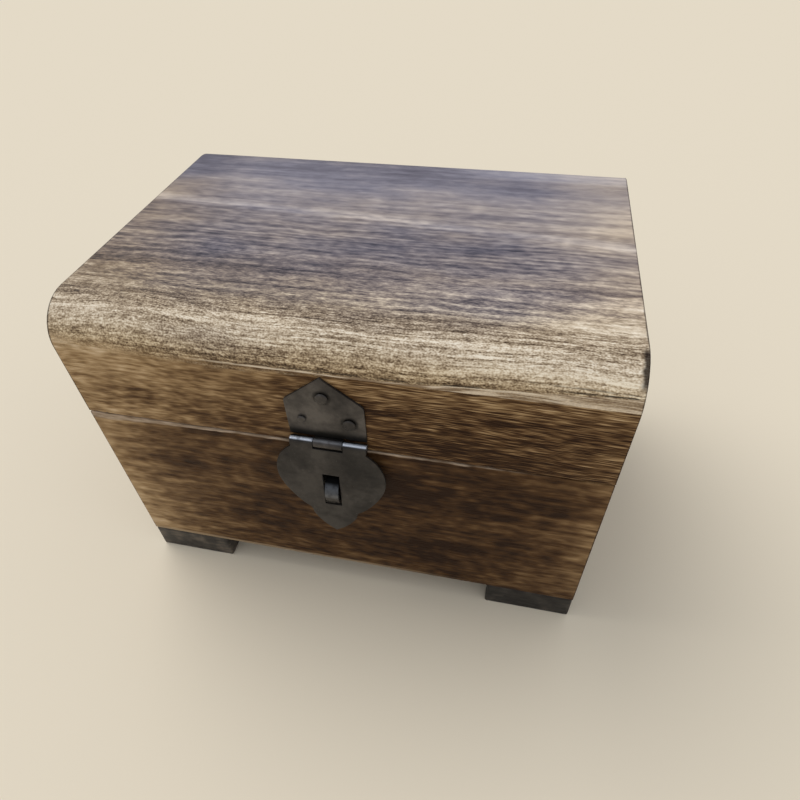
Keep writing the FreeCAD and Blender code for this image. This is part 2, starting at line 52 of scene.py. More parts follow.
def ripple(points, lengths, seed):
    """Soft unevenness from -1 to 1: the sum of sine waves of chance direction and phase,
    each about as long as the three lengths say along X, Y and Z."""
    waves = 12
    chance = np.random.default_rng(seed)
    pace = chance.normal(size=(waves, 3)) * 2 * np.pi / np.asarray(lengths)
    phase = chance.uniform(0, 2 * np.pi, waves)
    return np.clip(np.sin(points @ pace.T + phase).sum(axis=-1) / (waves / 2), -1, 1)


def circle(angle):
    """Points of the circle of radius 1, at angles."""
    return np.stack([np.cos(angle), np.sin(angle)], axis=-1)


def rectangle(low, high, first, second):
    """The corners of a box, seen along its third axis."""
    return [
        (low[first], low[second]),
        (high[first], low[second]),
        (high[first], high[second]),
        (low[first], high[second]),
    ]


def outline(corners, radii, step):
    """Closed outline of straight sides, each corner replaced by an arc of its radius.

    The arc's centre lies on the corner's bisector, radius / sin(half angle) away. Sides
    are cut into lengths of about step. The outline runs anticlockwise."""
    arc_points = 5
    corners, radii = np.asarray(corners, float), list(radii)
    first, second = corners.T
    if first @ np.roll(second, -1) < second @ np.roll(first, -1):
        corners, radii = corners[::-1], radii[::-1]
    pieces = []
    for before, corner, after, radius in zip(
        np.roll(corners, 1, 0), corners, np.roll(corners, -1, 0), radii
    ):
        if radius == 0:
            pieces.append(corner[None])
            continue
        back = (before - corner) / np.linalg.norm(before - corner)
        ahead = (after - corner) / np.linalg.norm(after - corner)
        half = np.arccos(np.clip(back @ ahead, -1, 1)) / 2
        bisector = (back + ahead) / np.linalg.norm(back + ahead)
        centre = corner + bisector * radius / np.sin(half)
        start, stop = (corner + way * radius / np.tan(half) - centre for way in (back, ahead))
        first = np.arctan2(start[1], start[0])
        sweep = (np.arctan2(stop[1], stop[0]) - first + np.pi) % (2 * np.pi) - np.pi
        angle = first + sweep * np.linspace(0, 1, arc_points)
        pieces.append(centre + radius * circle(angle))
    loop = np.concatenate(pieces)
    following = np.roll(loop, -1, 0)
    cuts = np.maximum(1, np.round(np.linalg.norm(following - loop, axis=1) / step)).astype(int)
    return np.concatenate(
        [a + (b - a) * np.arange(n)[:, None] / n for a, b, n in zip(loop, following, cuts)]
    )


def carried(loop, low, high, ease, step):
    """Carry a closed outline from low to high. At each end it draws in as 1 - cos a does,
    by most of the radius of its tightest corner but no more than ease, while it advances
    by ease * sin a. Then it shrinks to its middle. A corner's radius is the length between
    the outline's points over how far it turns there.

    Returns a grid of (along, first, second), and on the same grid the outward direction in
    the outline, which is shorter at a tight corner and nothing on the ends."""
    ahead, back = np.roll(loop, -1, 0) - loop, loop - np.roll(loop, 1, 0)
    tangent = ahead + back
    outward = np.stack([tangent[:, 1], -tangent[:, 0]], axis=-1)
    outward /= np.linalg.norm(outward, axis=1, keepdims=True)
    cross = np.abs(back[:, 0] * ahead[:, 1] - back[:, 1] * ahead[:, 0])
    turn = np.arctan2(cross, (back * ahead).sum(axis=1)) + 1e-6
    shorter = np.minimum(np.linalg.norm(ahead, axis=1), np.linalg.norm(back, axis=1))
    most = 0.7
    share = np.minimum(1.0, most * shorter / turn / ease)[:, None]
    a = np.linspace(np.pi / 2, 0, 5)
    cap = np.array([0, 0.3, 0.6, 0.85])
    near = np.concatenate([0 * cap, ease * (1 - np.sin(a))])
    shrink = np.concatenate([cap, np.ones_like(a)])
    full = np.concatenate([0 * cap, np.cos(a)])
    count = max(2, int((high - low - 2 * ease) / step))
    between = np.linspace(low + ease, high - ease, count)[1:-1]
    along = np.concatenate([low + near, between, high - near[::-1]])
    shrink, full = (
        np.concatenate([end, np.ones(len(between)), end[::-1]])[:, None, None]
        for end in (shrink, full)
    )
    middle = (loop.min(0) + loop.max(0)) / 2
    drawn_in = loop - ease * share.min() * (1 - full) * outward
    section = middle + (drawn_in - middle) * shrink
    along = np.broadcast_to(along[:, None, None], section.shape[:2] + (1,))
    return np.concatenate([along, section], axis=-1), full * share * outward


def grid_faces(rows, columns, wrapped=True):
    """The quads between the points of a grid, whose last column may meet its first."""
    row, column = np.mgrid[0 : rows - 1, 0 : columns - (not wrapped)]
    beside = (column + 1) % columns
    corners = [row * columns + column, row * columns + beside]
    corners += [corners[1] + columns, corners[0] + columns]
    return np.stack(corners, axis=-1).reshape(-1, 4)


def place_in_scene(name, data):
    """Make an object of a mesh, light or camera, and put it in the scene."""
    made = bpy.data.objects.new(name, data)
    bpy.context.scene.collection.objects.link(made)
    return made


def add_piece(name, material, body, node, points, faces=None):
    """Make the piece that replaces a CAD node, from points in millimetres and the faces
    between them. Points with no faces are a grid that closes on itself."""
    if faces is None:
        faces = grid_faces(*points.shape[:2])
    mesh = bpy.data.meshes.new(name)
    mesh.from_pydata((points.reshape(-1, 3) * mm).tolist(), [], faces.tolist())
    work = bmesh.new()
    work.from_mesh(mesh)
    bmesh.ops.remove_doubles(work, verts=work.verts, dist=1e-7)
    loose = [vertex for vertex in work.verts if not vertex.link_faces]
    bmesh.ops.delete(work, geom=loose, context="VERTS")
    bmesh.ops.recalc_face_normals(work, faces=work.faces)
    work.to_mesh(mesh)
    work.free()
    mesh.shade_smooth()
    mesh.set_sharp_from_angle(angle=np.radians(35))
    mesh.materials.append(material)
    made = place_in_scene(name, mesh)
    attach(made, body)
    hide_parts(node)
    return made


def node_box(node):
    """Lowest and highest corner of a CAD node, in millimetres."""
    return tuple(np.array(corner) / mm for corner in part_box(node))


class Finish:
    """A material, put together from nodes. Each method returns the socket that it makes."""

    def __init__(self, name, **shader):
        """Start a material, with these values on its shader."""
        self.material = bpy.data.materials.new(name)
        self.material.use_nodes = True
        self.tree = self.material.node_tree
        self.shader = self.tree.nodes["Principled BSDF"]
        for socket, value in shader.items():
            self.shader.inputs[socket.replace("_", " ")].default_value = value
        self.place = self.node("ShaderNodeTexCoord").outputs["Object"]

    def node(self, kind, inputs=(), **settings):
        """A node whose inputs are sockets, values, or None for what stands there."""
        made = self.tree.nodes.new(kind)
        for name, value in settings.items():
            setattr(made, name, value)
        for index, value in enumerate(inputs):
            if isinstance(value, bpy.types.NodeSocket):
                self.tree.links.new(value, made.inputs[index])
            elif value is not None:
                made.inputs[index].default_value = value
        return made

    def give(self, socket, value):
        """Link a socket of the shader."""
        self.tree.links.new(value, self.shader.inputs[socket])

    def math(self, operation, *values):
        """One number from others."""
        return self.node("ShaderNodeMath", values, operation=operation).outputs[0]

    def total(self, first, *others):
        """A sum."""
        for other in others:
            first = self.math("ADD", first, other)
        return first

    def product(self, first, *others):
        """A product."""
        for other in others:
            first = self.math("MULTIPLY", first, other)
        return first

    def past(self, value, limit):
        """How far a value is past a limit: less than 0 if it is short of it."""
        return self.math("SUBTRACT", value, limit)

    def beyond(self, value, limit):
        """How far a value is past a limit, or 0."""
        return self.math("MAXIMUM", self.past(value, limit), 0.0)

    def swing(self, value, weight):
        """How far a noise is from its middle, times a weight, which may be a socket."""
        return self.product(self.past(value, 0.5), weight)

    def split(self, vector):
        """The X, Y and Z of a vector."""
        return self.node("ShaderNodeSeparateXYZ", [vector]).outputs

    def join(self, *parts):
        """A vector from its X, Y and Z."""
        return self.node("ShaderNodeCombineXYZ", parts).outputs[0]

    def vector(self, operation, *vectors):
        """A vector from others."""
        return self.node("ShaderNodeVectorMath", vectors, operation=operation).outputs[0]

    def measure(self, operation, *vectors):
        """A number from vectors: a length, a distance or a dot product."""
        return self.node("ShaderNodeVectorMath", vectors, operation=operation).outputs["Value"]

    def mapped(self, turn=(0, 0, 0), shift=(0, 0, 0)):
        """The place on the object in millimetres, turned and shifted."""
        scale = (1 / mm,) * 3
        return self.node("ShaderNodeMapping", [self.place, shift, turn, scale]).outputs[0]

    def noise(self, vector, lengths, detail=2.0, rough=0.5):
        """Noise whose features are about as long as the three lengths say."""
        pace = self.vector("MULTIPLY", vector, tuple(1 / length for length in lengths))
        return self.node("ShaderNodeTexNoise", [pace, None, 1.0, detail, rough]).outputs["Fac"]

    def fade(self, value, start, end, low=0.0, high=1.0):
        """A smooth step of value from start to end."""
        return self.node(
            "ShaderNodeMapRange", [value, start, end, low, high], interpolation_type="SMOOTHSTEP"
        ).outputs[0]

    def ramp(self, value, stops):
        """The colour at a value, between stops of (value, colour)."""
        made = self.node("ShaderNodeValToRGB", [value])
        places = made.color_ramp.elements
        while len(places) < len(stops):
            places.new(1.0)
        for place, (position, colour) in zip(places, stops):
            place.position = position
            place.color = (*colour, 1.0)
        return made.outputs["Color"]

    def curve(self, value, *marks):
        """A number that follows marks of (value, result) in straight runs."""
        first, last = marks[0][0], marks[-1][0]
        stops = [((place - first) / (last - first), (level,) * 3) for place, level in marks]
        share = self.node("ShaderNodeMapRange", [value, first, last]).outputs[0]
        return self.ramp(share, stops)

    def mix(self, factor, first, second, way="MIX"):
        """Blend two colours, each a socket or three numbers."""
        whole = [each if isinstance(each, bpy.types.NodeSocket) else (*each, 1.0)
                 for each in (first, second)]
        inputs = [factor, *[None] * 5, *whole]
        return self.node("ShaderNodeMix", inputs, data_type="RGBA", blend_type=way).outputs[2]

    def bump(self, height, distance, under=None):
        """Raise the surface by height (0 to 1) times a distance in millimetres."""
        made = self.node("ShaderNodeBump")
        made.inputs["Distance"].default_value = distance * mm
        self.tree.links.new(height, made.inputs["Height"])
        if under:
            self.tree.links.new(under, made.inputs["Normal"])
        return made.outputs["Normal"]


front_low, front_high = node_box("body_front_board")
_, back_high = node_box("body_back_board")
wall = front_high[1] - front_low[1]
half_width = front_high[0]
half_depth = (back_high[1] - front_low[1]) / 2
mid_y = (back_high[1] + front_low[1]) / 2
body_top = front_high[2]


def planed_wood(name, turn=0, shift=(0, 0, 0)):
    """Open-grained wood, with its grain along X before the turn.

    The finish carries, as sockets: the place on the chest, and kinds of grain, all drawn
    out along the board. The grain wanders slowly up and down. Bands are growth rings:
    shells round a pith that lies along the grain, off to one side."""
    wood = Finish(name, Specular_IOR_Level=0.12)
    wood.x, wood.y, wood.z = wood.split(wood.mapped())
    wood.aside = wood.math("ABSOLUTE", wood.x)
    wood.behind = wood.math("ABSOLUTE", wood.past(wood.y, mid_y))
    plank = wood.mapped(turn=(0, 0, turn), shift=shift)
    wander = wood.swing(wood.noise(plank, (75, 30, 30)), 7)
    wood.plank = wood.vector("ADD", plank, wood.join(0, wander, wander))
    _, across, up = wood.split(wood.plank)
    pith = (-22, 20, 0)
    ring = wood.measure("DISTANCE", wood.join(across, up, 0), pith)
    wood.bands = wood.noise(wood.join(ring, 0, wood.x), (3.1, 1, 170), detail=3, rough=0.6)
    wood.streaks = wood.noise(wood.plank, (40, 1.9, 1.9), detail=3, rough=0.55)
    wood.scorch = wood.noise(wood.plank, (34, 14, 14), detail=3, rough=0.55)
    wood.dapple = wood.noise(wood.plank, (5.5, 2.5, 2.5), detail=1)
    wood.lines = wood.noise(wood.plank, (5, 1.2, 1.2), detail=1.5)
    wood.pores = wood.noise(wood.plank, (6.5, 0.34, 0.34), detail=1)
    return wood


SOOT = (0.012, 0.006, 0.004)
BROWN = [
    (0.08, (0.022, 0.008, 0.0025)),
    (0.20, (0.073, 0.034, 0.0115)),
    (0.30, (0.157, 0.088, 0.037)),
    (0.40, (0.30, 0.190, 0.090)),
    (0.50, (0.46, 0.315, 0.170)),
    (0.70, (0.76, 0.60, 0.41)),
]
BARE = [(0.05, (0.30, 0.19, 0.10)), (0.5, (0.62, 0.47, 0.30))]


def torch(wood, level, dapple, lines, pores):
    """Torched brown stain about a level of brightness. The last three are the weights of
    soft dapples, short lines and fine pores."""
    grains = (wood.bands, wood.streaks, wood.scorch, wood.dapple, wood.lines, wood.pores)
    weights = (0.22, 0.24, 0.32, dapple, lines, pores)
    wood.tone = wood.total(level, *map(wood.swing, grains, weights))
    return wood.ramp(wood.tone, BROWN)


def seal(wood, colour, ceiling, end_grain=True):
    """Leave the wood bare inside the chest, char its end grain, and give the rest a satin
    coat that is duller in the pores."""
    slack = 0.15
    inside = wood.product(
        wood.math("LESS_THAN", wood.aside, half_width - wall + slack),
        wood.math("LESS_THAN", wood.behind, half_depth - wall + slack),
        wood.math("GREATER_THAN", wood.z, front_low[2] + 0.5),
        wood.math("LESS_THAN", wood.z, ceiling),
    )
    colour = wood.mix(inside, colour, wood.ramp(wood.tone, BARE))
    if end_grain:
        edge = wood.total(wood.aside, wood.swing(wood.scorch, 0.8))
        burnt = wood.fade(edge, half_width - 0.45, half_width, 0, 0.82)
        colour = wood.mix(burnt, colour, SOOT)
    wood.give("Base Color", colour)
    wood.give("Roughness", wood.fade(wood.pores, 0.30, 0.60, 0.66, 0.46))
    relief = wood.total(wood.fade(wood.pores, 0.32, 0.52), wood.product(wood.lines, 0.8))
    wood.give("Normal", wood.bump(relief, 0.05))
    return wood.material


def front_stain(name):
    """The stain of the body's long boards. The flame went least to the left end, and most
    beside the hasp; right of the heart a patch is darker still, a painted shadow of the
    hasp. The upper front arris is chipped and worn to pale wood, most at the left, and so
    is the lower one; both pale bands are partly painted highlight on the arrises."""
    wood = planed_wood(name)
    level = wood.curve(
        wood.total(wood.x, wood.swing(wood.scorch, 14)),
        (-78, 0.43), (-63, 0.28), (-48, 0.195), (-30, 0.165), (-15, 0.15), (30, 0.142),
        (55, 0.155), (66, 0.19), (78, 0.30),
    )
    # Painted shadow of the hasp: a darker patch round a point just right of the heart's lobe.
    off = wood.measure("DISTANCE", wood.join(wood.x, 0, wood.z), (24, 0, 64))
    lighter = wood.curve(wood.z, (20, 0.065), (34, 0.045), (44, 0.015), (58, 0.01), (68, 0.04))
    level = wood.total(
        level,
        wood.fade(off, 30, 6, 0, -0.05),
        wood.product(lighter, wood.fade(wood.x, -15, -50, 0.35, 1)),
    )
    colour = torch(wood, level, 0.34, 0.10, 0.10)
    outside = wood.math("GREATER_THAN", wood.behind, half_depth - 1.2)
    # The pale band along the upper arris is chipped, worn wood and also painted highlight where
    # the arris catches the light.
    worn_and_lit_to = wood.total(
        wood.curve(wood.x, (-76, 2.4), (-52, 1.3), (-25, 0.6), (30, 0.5), (64, 0)),
        wood.swing(wood.lines, 0.9),
        wood.swing(wood.streaks, 1.6),
    )
    chipped = wood.product(
        wood.fade(wood.past(wood.past(body_top, wood.z), worn_and_lit_to), 0.3, -0.3),
        outside,
        wood.fade(wood.x, 66, 28, 0, 0.85),
        wood.fade(wood.scorch, 0.36, 0.5, 0.5, 1),
    )
    pale = wood.ramp(wood.lines, [(0.3, (0.20, 0.14, 0.09)), (0.65, (0.50, 0.39, 0.29))])
    colour = wood.mix(chipped, colour, pale)
    # The pale band along the lower arris is worn wood and also painted highlight on the arris.
    above = wood.past(wood.z, front_low[2])
    worn = wood.product(
        wood.fade(wood.total(above, wood.swing(wood.streaks, 1.5)), 1.8, 1),
        outside,
        wood.fade(wood.x, 50, -5, 0, 0.75),
    )
    colour = wood.mix(worn, colour, (0.34, 0.25, 0.155))
    return seal(wood, colour, body_top)


def end_stain(name, ceiling, **grain):
    """The stain of a board across the end of the chest."""
    wood = planed_wood(name, turn=np.pi / 2, **grain)
    return seal(wood, torch(wood, 0.25, 0.2, 0.3, 0.3), ceiling, end_grain=False)


def long_board(node, body, material, profile, radii, seed, worn=()):
    """A board that runs the width of the chest: its profile in (y, z) carried along X.
    Its arrises are rubbed a little, and those at the worn corners are chipped and nicked."""
    low, high = node_box(node)
    loop = outline(profile, radii, 1.4)
    grid, outward = carried(loop, low[0], high[0], 0.25, 0.8)
    rub = 0.05 * (0.5 + 0.5 * ripple(grid, (60, 14, 14), seed))
    for corner in worn:
        reach = np.exp(-(((loop - corner) ** 2).sum(axis=1)) / 0.5**2)
        chip = np.clip(ripple(grid * (1, 0, 0), (7, 1, 1), seed + 1) - 0.25, 0, 1)
        nick = np.clip(ripple(grid * (1, 0, 0), (2.2, 1, 1), seed + 2) - 0.45, 0, 1)
        rub = rub + reach * (0.30 * chip + 0.35 * nick)
    grid[..., 1:] -= rub[..., None] * outward
    add_piece(node + "_wood", material, body, node, grid)


def end_board(node, body, material, seed):
    """A board between the long ones: an upright rectangle in (x, z) carried along Y."""
    low, high = node_box(node)
    loop = outline(rectangle(low, high, 0, 2), [0.3] * 4, 1.6)
    grid, outward = carried(loop, low[1], high[1], 0.08, 0.9)
    rub = 0.05 * (0.5 + 0.5 * ripple(grid, (14, 50, 14), seed))
    grid[..., 1:] -= rub[..., None] * outward
    add_piece(node + "_wood", material, body, node, grid[..., [1, 0, 2]])


body_wood = front_stain("body_wood")
body_end_wood = end_stain("body_end_wood", body_top, shift=(31, 7, 4))
arris = 0.38
for node, face, seed in (
    ("body_front_board", front_low[1], 11),
    ("body_back_board", back_high[1], 21),
):
    low, high = node_box(node)
    corners = rectangle(low, high, 1, 2)
    radii = [arris if near == face else 0.2 for near, _ in corners]
    long_board(node, "root", body_wood, corners, radii, seed, worn=[(face, high[2])])
for seed, node in enumerate(("body_left_end", "body_right_end"), start=31):
    end_board(node, "root", body_end_wood, seed)


# --- Floor of the body ---
# A thin panel of the same wood, let in between the walls. Its upper side is left bare.

panel = planed_wood("floor_wood", shift=(12, 64, 3))
floor_wood = seal(panel, torch(panel, 0.27, 0.2, 0.3, 0.3), body_top)
floor_corners = rectangle(*node_box("body_floor"), 1, 2)
long_board("body_floor", "root", floor_wood, floor_corners, [0.15] * 4, 41)


# --- Lid ---
# A top board glued over two rails and two ends. Its front and back edges were rounded
# after gluing, so the round runs over the joint, and they were sanded pale.

rail_low, rail_high = node_box("lid_front_rail")
top_low, top_high = node_box("lid_top_board")
lid_rounding = 12.0
bend = top_high[2] - lid_rounding
flat = half_depth - lid_rounding
inside_top = top_low[2] + 0.5
joint_angle = np.arcsin((top_low[2] - bend) / lid_rounding)


# Slate tones of the top: grey stain together with a painted bluish sheen.
SLATE_AND_SHEEN = [
    (0.15, (0.019, 0.018, 0.026)),
    (0.30, (0.053, 0.050, 0.068)),
    (0.45, (0.133, 0.126, 0.157)),
    (0.60, (0.255, 0.247, 0.290)),
    (0.75, (0.43, 0.42, 0.465)),
    (1.0, (0.8, 0.8, 0.83)),
]
TAN = [
    (0.15, (0.035, 0.021, 0.012)),
    (0.30, (0.105, 0.070, 0.042)),
    (0.45, (0.235, 0.170, 0.110)),
    (0.60, (0.41, 0.32, 0.22)),
    (0.75, (0.65, 0.54, 0.40)),
    (1.0, (0.92, 0.83, 0.68)),
]


def around_lid(wood):
    """How far round the lid a place is from the middle of its top: across the flat, then
    along the rounding, then down. Second, the same with a sign: plus is to the front."""
    angle = wood.math("ARCTAN2", wood.beyond(wood.behind, flat), wood.beyond(wood.z, bend))
    around = wood.total(
        wood.math("MINIMUM", wood.behind, flat),
        wood.product(angle, lid_rounding),
        wood.beyond(bend, wood.z),
    )
    return around, wood.product(around, wood.math("SIGN", wood.past(mid_y, wood.y)))


def top_grain(wood, girth, rounded):
    """Grain of the top, which gets finer towards the front and is finest on the rounding."""
    near = wood.fade(girth, -34, -6, 0.24, 0.60)
    wood.hairs = wood.noise(wood.plank, (60, 0.6, 0.6))
    threads = wood.noise(wood.plank, (150, 2.7, 2.7), rough=0.4)
    fibres = wood.noise(wood.plank, (120, 1.3, 1.3))
    dashes = wood.noise(wood.plank, (4.5, 1.4, 1.4), detail=1.5)
    flecks = wood.noise(wood.plank, (1.5, 0.45, 0.45), rough=0.6)
    specks = wood.noise(wood.plank, (0.5, 0.35, 0.35), detail=0)
    return wood.total(
        wood.swing(threads, wood.product(near, wood.fade(girth, 12, -15, 0.25, 0.85))),
        wood.swing(fibres, wood.fade(girth, -12, 14, 0.10, 0.60)),
        wood.swing(wood.dapple, wood.product(near, wood.fade(girth, 8, -20, 0.10, 0.45))),
        wood.swing(dashes, wood.fade(girth, -20, 10, 0.10, 0.45)),
        wood.swing(wood.hairs, wood.product(rounded, wood.fade(wood.x, -60, 10, 0.40, 0.85))),
        wood.swing(flecks, wood.fade(girth, 0, flat + 4, 0.05, 0.80)),
        wood.swing(specks, wood.product(rounded, 0.55)),
        wood.swing(wood.scorch, 0.25),
    )


def washed_with_sheen(wood, girth):
    """Slate wash on the top, which gives way to sanded tan round the front edge. The slate is
    partly grey stain and partly painted sheen, the reflection of bluish light on the satin
    top. Its bands of light and dark lie along the grain, a little askew on the top. It is
    bleached at the right end and in a few other patches, each the product of its fades."""
    rounded = wood.fade(girth, flat - 9, flat + 4)
    grain = top_grain(wood, girth, rounded)
    band = wood.total(
        girth, wood.product(wood.x, wood.fade(girth, 5, 40, -0.07, 0)),
        wood.swing(wood.scorch, 5), wood.swing(wood.streaks, 4), wood.swing(wood.bands, 3),
    )
    rightward = wood.total(wood.x, wood.swing(wood.scorch, 40))
    patches = (
        [(rightward, 40, 72, 0, 0.09), (girth, 46, 34)],
        [(rightward, 0, 45, 0, 0.17), (girth, -37, -41)],
        [(rightward, -45, -65, 0, -0.07), (girth, -12, -26)],
        [(rightward, -35, 40, -0.09, 0.09), (girth, 22, 28), (girth, 42, 36)],
        [(wood.x, 15, 50, 0, 0.09), (girth, flat - 9, flat + 4)],
        [(wood.x, 50, 65, 0, 0.08), (girth, 38, 41), (girth, 47, 44)],
    )
    shade = wood.total(
        wood.curve(
            band,
            (-60, 0.37), (-42, 0.47), (-38, 0.50), (-34, 0.53), (-22, 0.57), (-8.5, 0.56),
            (-6, 0.67), (-4.5, 0.66), (-3, 0.54), (6, 0.48), (22, 0.45), (30, 0.49),
            (38, 0.57), (41.5, 0.48), (44.5, 0.45), (46.5, 0.57), (48, 0.69), (50.3, 0.64),
            (52.4, 0.68), (55, 0.62), (58, 0.55), (61, 0.51),
        ),
        *[wood.product(*[wood.fade(*each) for each in fades]) for fades in patches],
        grain,
    )
    warmth = wood.total(
        wood.curve(
            girth,
            (-60, 0), (-38, 0), (-24, 0.15), (-15, 0.28), (-5, 0.36), (8, 0.22), (18, 0.22),
            (28, 0.45), (38, 0.75), (48, 1),
        ),
        wood.fade(wood.x, 40, 76, 0, 0.45),
        wood.product(wood.fade(wood.x, -40, -76, 0, 0.45), wood.fade(girth, -32, -16)),
        wood.swing(wood.scorch, 0.7),
        wood.product(grain, wood.fade(girth, 46, 36, 0, 1.2)),
    )
    # The slate colours carry the painted sheen; the faint bluish tint over the back of the top
    # below adds to it.
    colour = wood.mix(warmth, wood.ramp(shade, SLATE_AND_SHEEN), wood.ramp(shade, TAN))
    colour = wood.mix(wood.fade(girth, 42, 25), colour, (1.0, 0.985, 1.01), "MULTIPLY")
    return wood.mix(wood.fade(girth, 50, 60), colour, (1.0, 0.94, 0.80), "MULTIPLY")


def joint_line(wood, colour, front, over):
    """The joint of the top and the front rail: a pale strip of glue and clean wood over the
    place where the sanding stops, a hair at the left and wide at the right, under broken
    fine dark cracks. Each crack follows its marks of (x, height over that place)."""
    width = wood.total(
        wood.curve(wood.x, (-50, 0), (-30, 0.5), (22, 0.55), (40, 1.9), (60, 2.9), (76, 3.6)),
        wood.swing(wood.lines, 1.2),
    )
    strip = wood.product(
        wood.math("GREATER_THAN", over, 0),
        wood.fade(wood.past(over, width), 0.25, -0.15),
        front,
        wood.fade(wood.x, -45, -15),
        wood.fade(wood.x, 20, 45, 0.95, 0.7),
    )
    glue = wood.ramp(
        wood.total(wood.swing(wood.hairs, 2.4), wood.swing(wood.pores, 1.4), 0.5),
        [(0.3, (0.27, 0.19, 0.12)), (0.5, (0.53, 0.42, 0.30)), (0.7, (0.72, 0.61, 0.47))],
    )
    colour = wood.mix(strip, colour, glue)
    place = wood.total(over, wood.swing(wood.streaks, 0.8))
    for marks, amount in (
        ([(-30, 1.1), (20, 1.1), (38, 2.0)], wood.fade(wood.x, 48, 38, 0, 0.75)),
        ([(50, 3.2), (62, 3.5), (76, 3.75)], wood.fade(wood.x, 54, 62, 0, 0.85)),
        ([(50, 4.9), (70, 4.6)], wood.fade(wood.x, 46, 54, 0, 0.6)),
    ):
        far = wood.math("ABSOLUTE", wood.past(place, wood.curve(wood.x, *marks)))
        crack = wood.product(
            wood.fade(far, 0.34, 0.12), front, amount, wood.fade(wood.x, -32, -10),
            wood.fade(wood.lines, 0.40, 0.52, 0.25, 1),
        )
        colour = wood.mix(crack, colour, SOOT)
    return colour


def lid_stain(name):
    """The stain of the lid's long boards: brown on its sides, and over the top a slate
    wash that is partly painted sheen. The sanding of the rounded edge stops short of the
    flat front, softly at the left and sharply at the right, where a spot on the end is burnt."""
    wood = planed_wood(name)
    level = wood.total(
        wood.curve(
            wood.total(wood.x, wood.swing(wood.scorch, 14)),
            (-78, 0.41), (-60, 0.38), (-45, 0.335), (-25, 0.266), (-8, 0.232), (14, 0.205),
            (60, 0.202), (78, 0.29),
        ),
        wood.fade(wood.z, 79, 94, -0.02, 0.03),
        wood.fade(wood.z, 93, 98.5, 0, 0.05),
    )
    lines, pores = wood.fade(wood.x, -15, 25, 0.48, 0.14), wood.fade(wood.x, -30, 20, 0.18, 0.80)
    brown = torch(wood, level, 0.12, lines, pores)
    around, girth = around_lid(wood)
    limit = flat + 17.5
    ragged = wood.total(
        around,
        wood.swing(wood.scorch, wood.fade(wood.x, -30, 5, 7, 0.6)),
        wood.swing(wood.lines, wood.fade(wood.x, -30, 5, 3, 1.2)),
    )
    soft = wood.fade(wood.x, -30, 5, 3, 0.25)
    sanded = wood.fade(wood.math("DIVIDE", wood.past(ragged, limit), soft), 1, -1)
    colour = wood.mix(sanded, brown, washed_with_sheen(wood, girth))
    front = wood.math("GREATER_THAN", girth, flat)
    colour = joint_line(wood, colour, front, wood.past(limit, around))
    spot = wood.product(
        wood.fade(wood.total(wood.x, wood.swing(wood.dapple, 1.5)), 74.2, 75.3),
        wood.fade(girth, 43, 46), wood.fade(girth, 56, 53), 0.9,
    )
    return seal(wood, wood.mix(spot, colour, SOOT), inside_top)


def rounding(side, first, last, count):
    """Points on the lid's long edge, on the front (-1) or back (+1), between two angles
    above the level: the centre plus the radius times their cosine and sine."""
    angle = np.linspace(first, last, count)
    y = mid_y + side * (flat + lid_rounding * np.cos(angle))
    return np.stack([y, bend + lid_rounding * np.sin(angle)], axis=-1)


lid_wood = lid_stain("lid_wood")
lid_end_wood = end_stain("lid_end_wood", inside_top, shift=(5, 19, 4))
for node, side, seed in (("lid_front_rail", -1, 51), ("lid_back_rail", 1, 61)):
    face = mid_y + side * half_depth
    inner = face - side * wall
    round_part = rounding(side, 0.0, joint_angle, 9)
    corners = [(inner, rail_high[2]), (inner, rail_low[2]), (face, rail_low[2]), *round_part]
    radii = [0.15, 0.2, arris] + [0.0] * (len(round_part) - 1) + [0.08]
    long_board(node, "lid", lid_wood, corners, radii, seed, worn=[(face, rail_low[2])])

top_profile = [
    *rounding(1, joint_angle, np.pi / 2, 25), *rounding(-1, np.pi / 2, joint_angle, 9)
]
top_radii = [0.0] * len(top_profile)
top_radii[0] = top_radii[-1] = 0.08
long_board("lid_top_board", "lid", lid_wood, top_profile, top_radii, 71)
for seed, node in enumerate(("lid_left_end", "lid_right_end"), start=81):
    end_board(node, "lid", lid_end_wood, seed)


# --- Feet ---
# Four blocks, painted near black, glued flush under the corners of the body.

paint = Finish("foot_paint", Specular_IOR_Level=0.3)
spot = paint.mapped()
brush = paint.noise(spot, (7, 0.7, 0.7), detail=3, rough=0.6)
blotch = paint.noise(spot, (5, 5, 5), detail=3)
thin = paint.fade(paint.split(spot)[0], -40, 40, 0.05, -0.19)
paint.give(
    "Base Color",
    paint.ramp(
        paint.total(paint.swing(brush, 1), paint.swing(blotch, 1), thin, 0.5),
        [(0.25, (0.012, 0.010, 0.009)), (0.52, (0.045, 0.038, 0.032)), (0.8, (0.13, 0.105, 0.08))],
    ),
)
paint.give("Roughness", paint.fade(brush, 0.3, 0.7, 0.42, 0.65))
paint.give("Normal", paint.bump(brush, 0.06))

for seed, place in enumerate(("front_left", "front_right", "rear_left", "rear_right"), start=91):
    node = "foot_" + place
    low, high = node_box(node)
    loop = outline(rectangle(low, high, 0, 1), [0.7] * 4, 0.8)
    grid, outward = carried(loop, low[2], high[2], 0.7, 0.6)
    there = grid[..., [1, 2, 0]]
    rub = 0.08 * (0.5 + 0.5 * ripple(there, (9, 9, 5), seed))
    edge = np.exp(-((high[2] - there[..., 2]) / 0.8) ** 2)
    nick = np.clip(ripple(there * (1, 1, 0), (4, 4, 1), seed + 5) - 0.3, 0, 1)
    grid[..., 1:] -= (rub + 0.5 * edge * nick)[..., None] * outward
    add_piece(node + "_block", paint.material, "root", node, grid[..., [1, 2, 0]])


# --- Hasp ---
# Two pieces of thin iron sheet with a dark antique finish, on one pin. The house-shaped
# leaf is nailed to the lid and has the middle knuckle. The heart has the two outer ones.


def sheet_faces(row, across, keep):
    """The quads of a sheet that keep(across, row) wants, going by their middles."""
    faces = grid_faces(*row.shape, wrapped=False)
    middle_across, middle_row = (each.reshape(-1)[faces].mean(axis=1) for each in (across, row))
    return faces[keep(np.abs(middle_across), middle_row)]


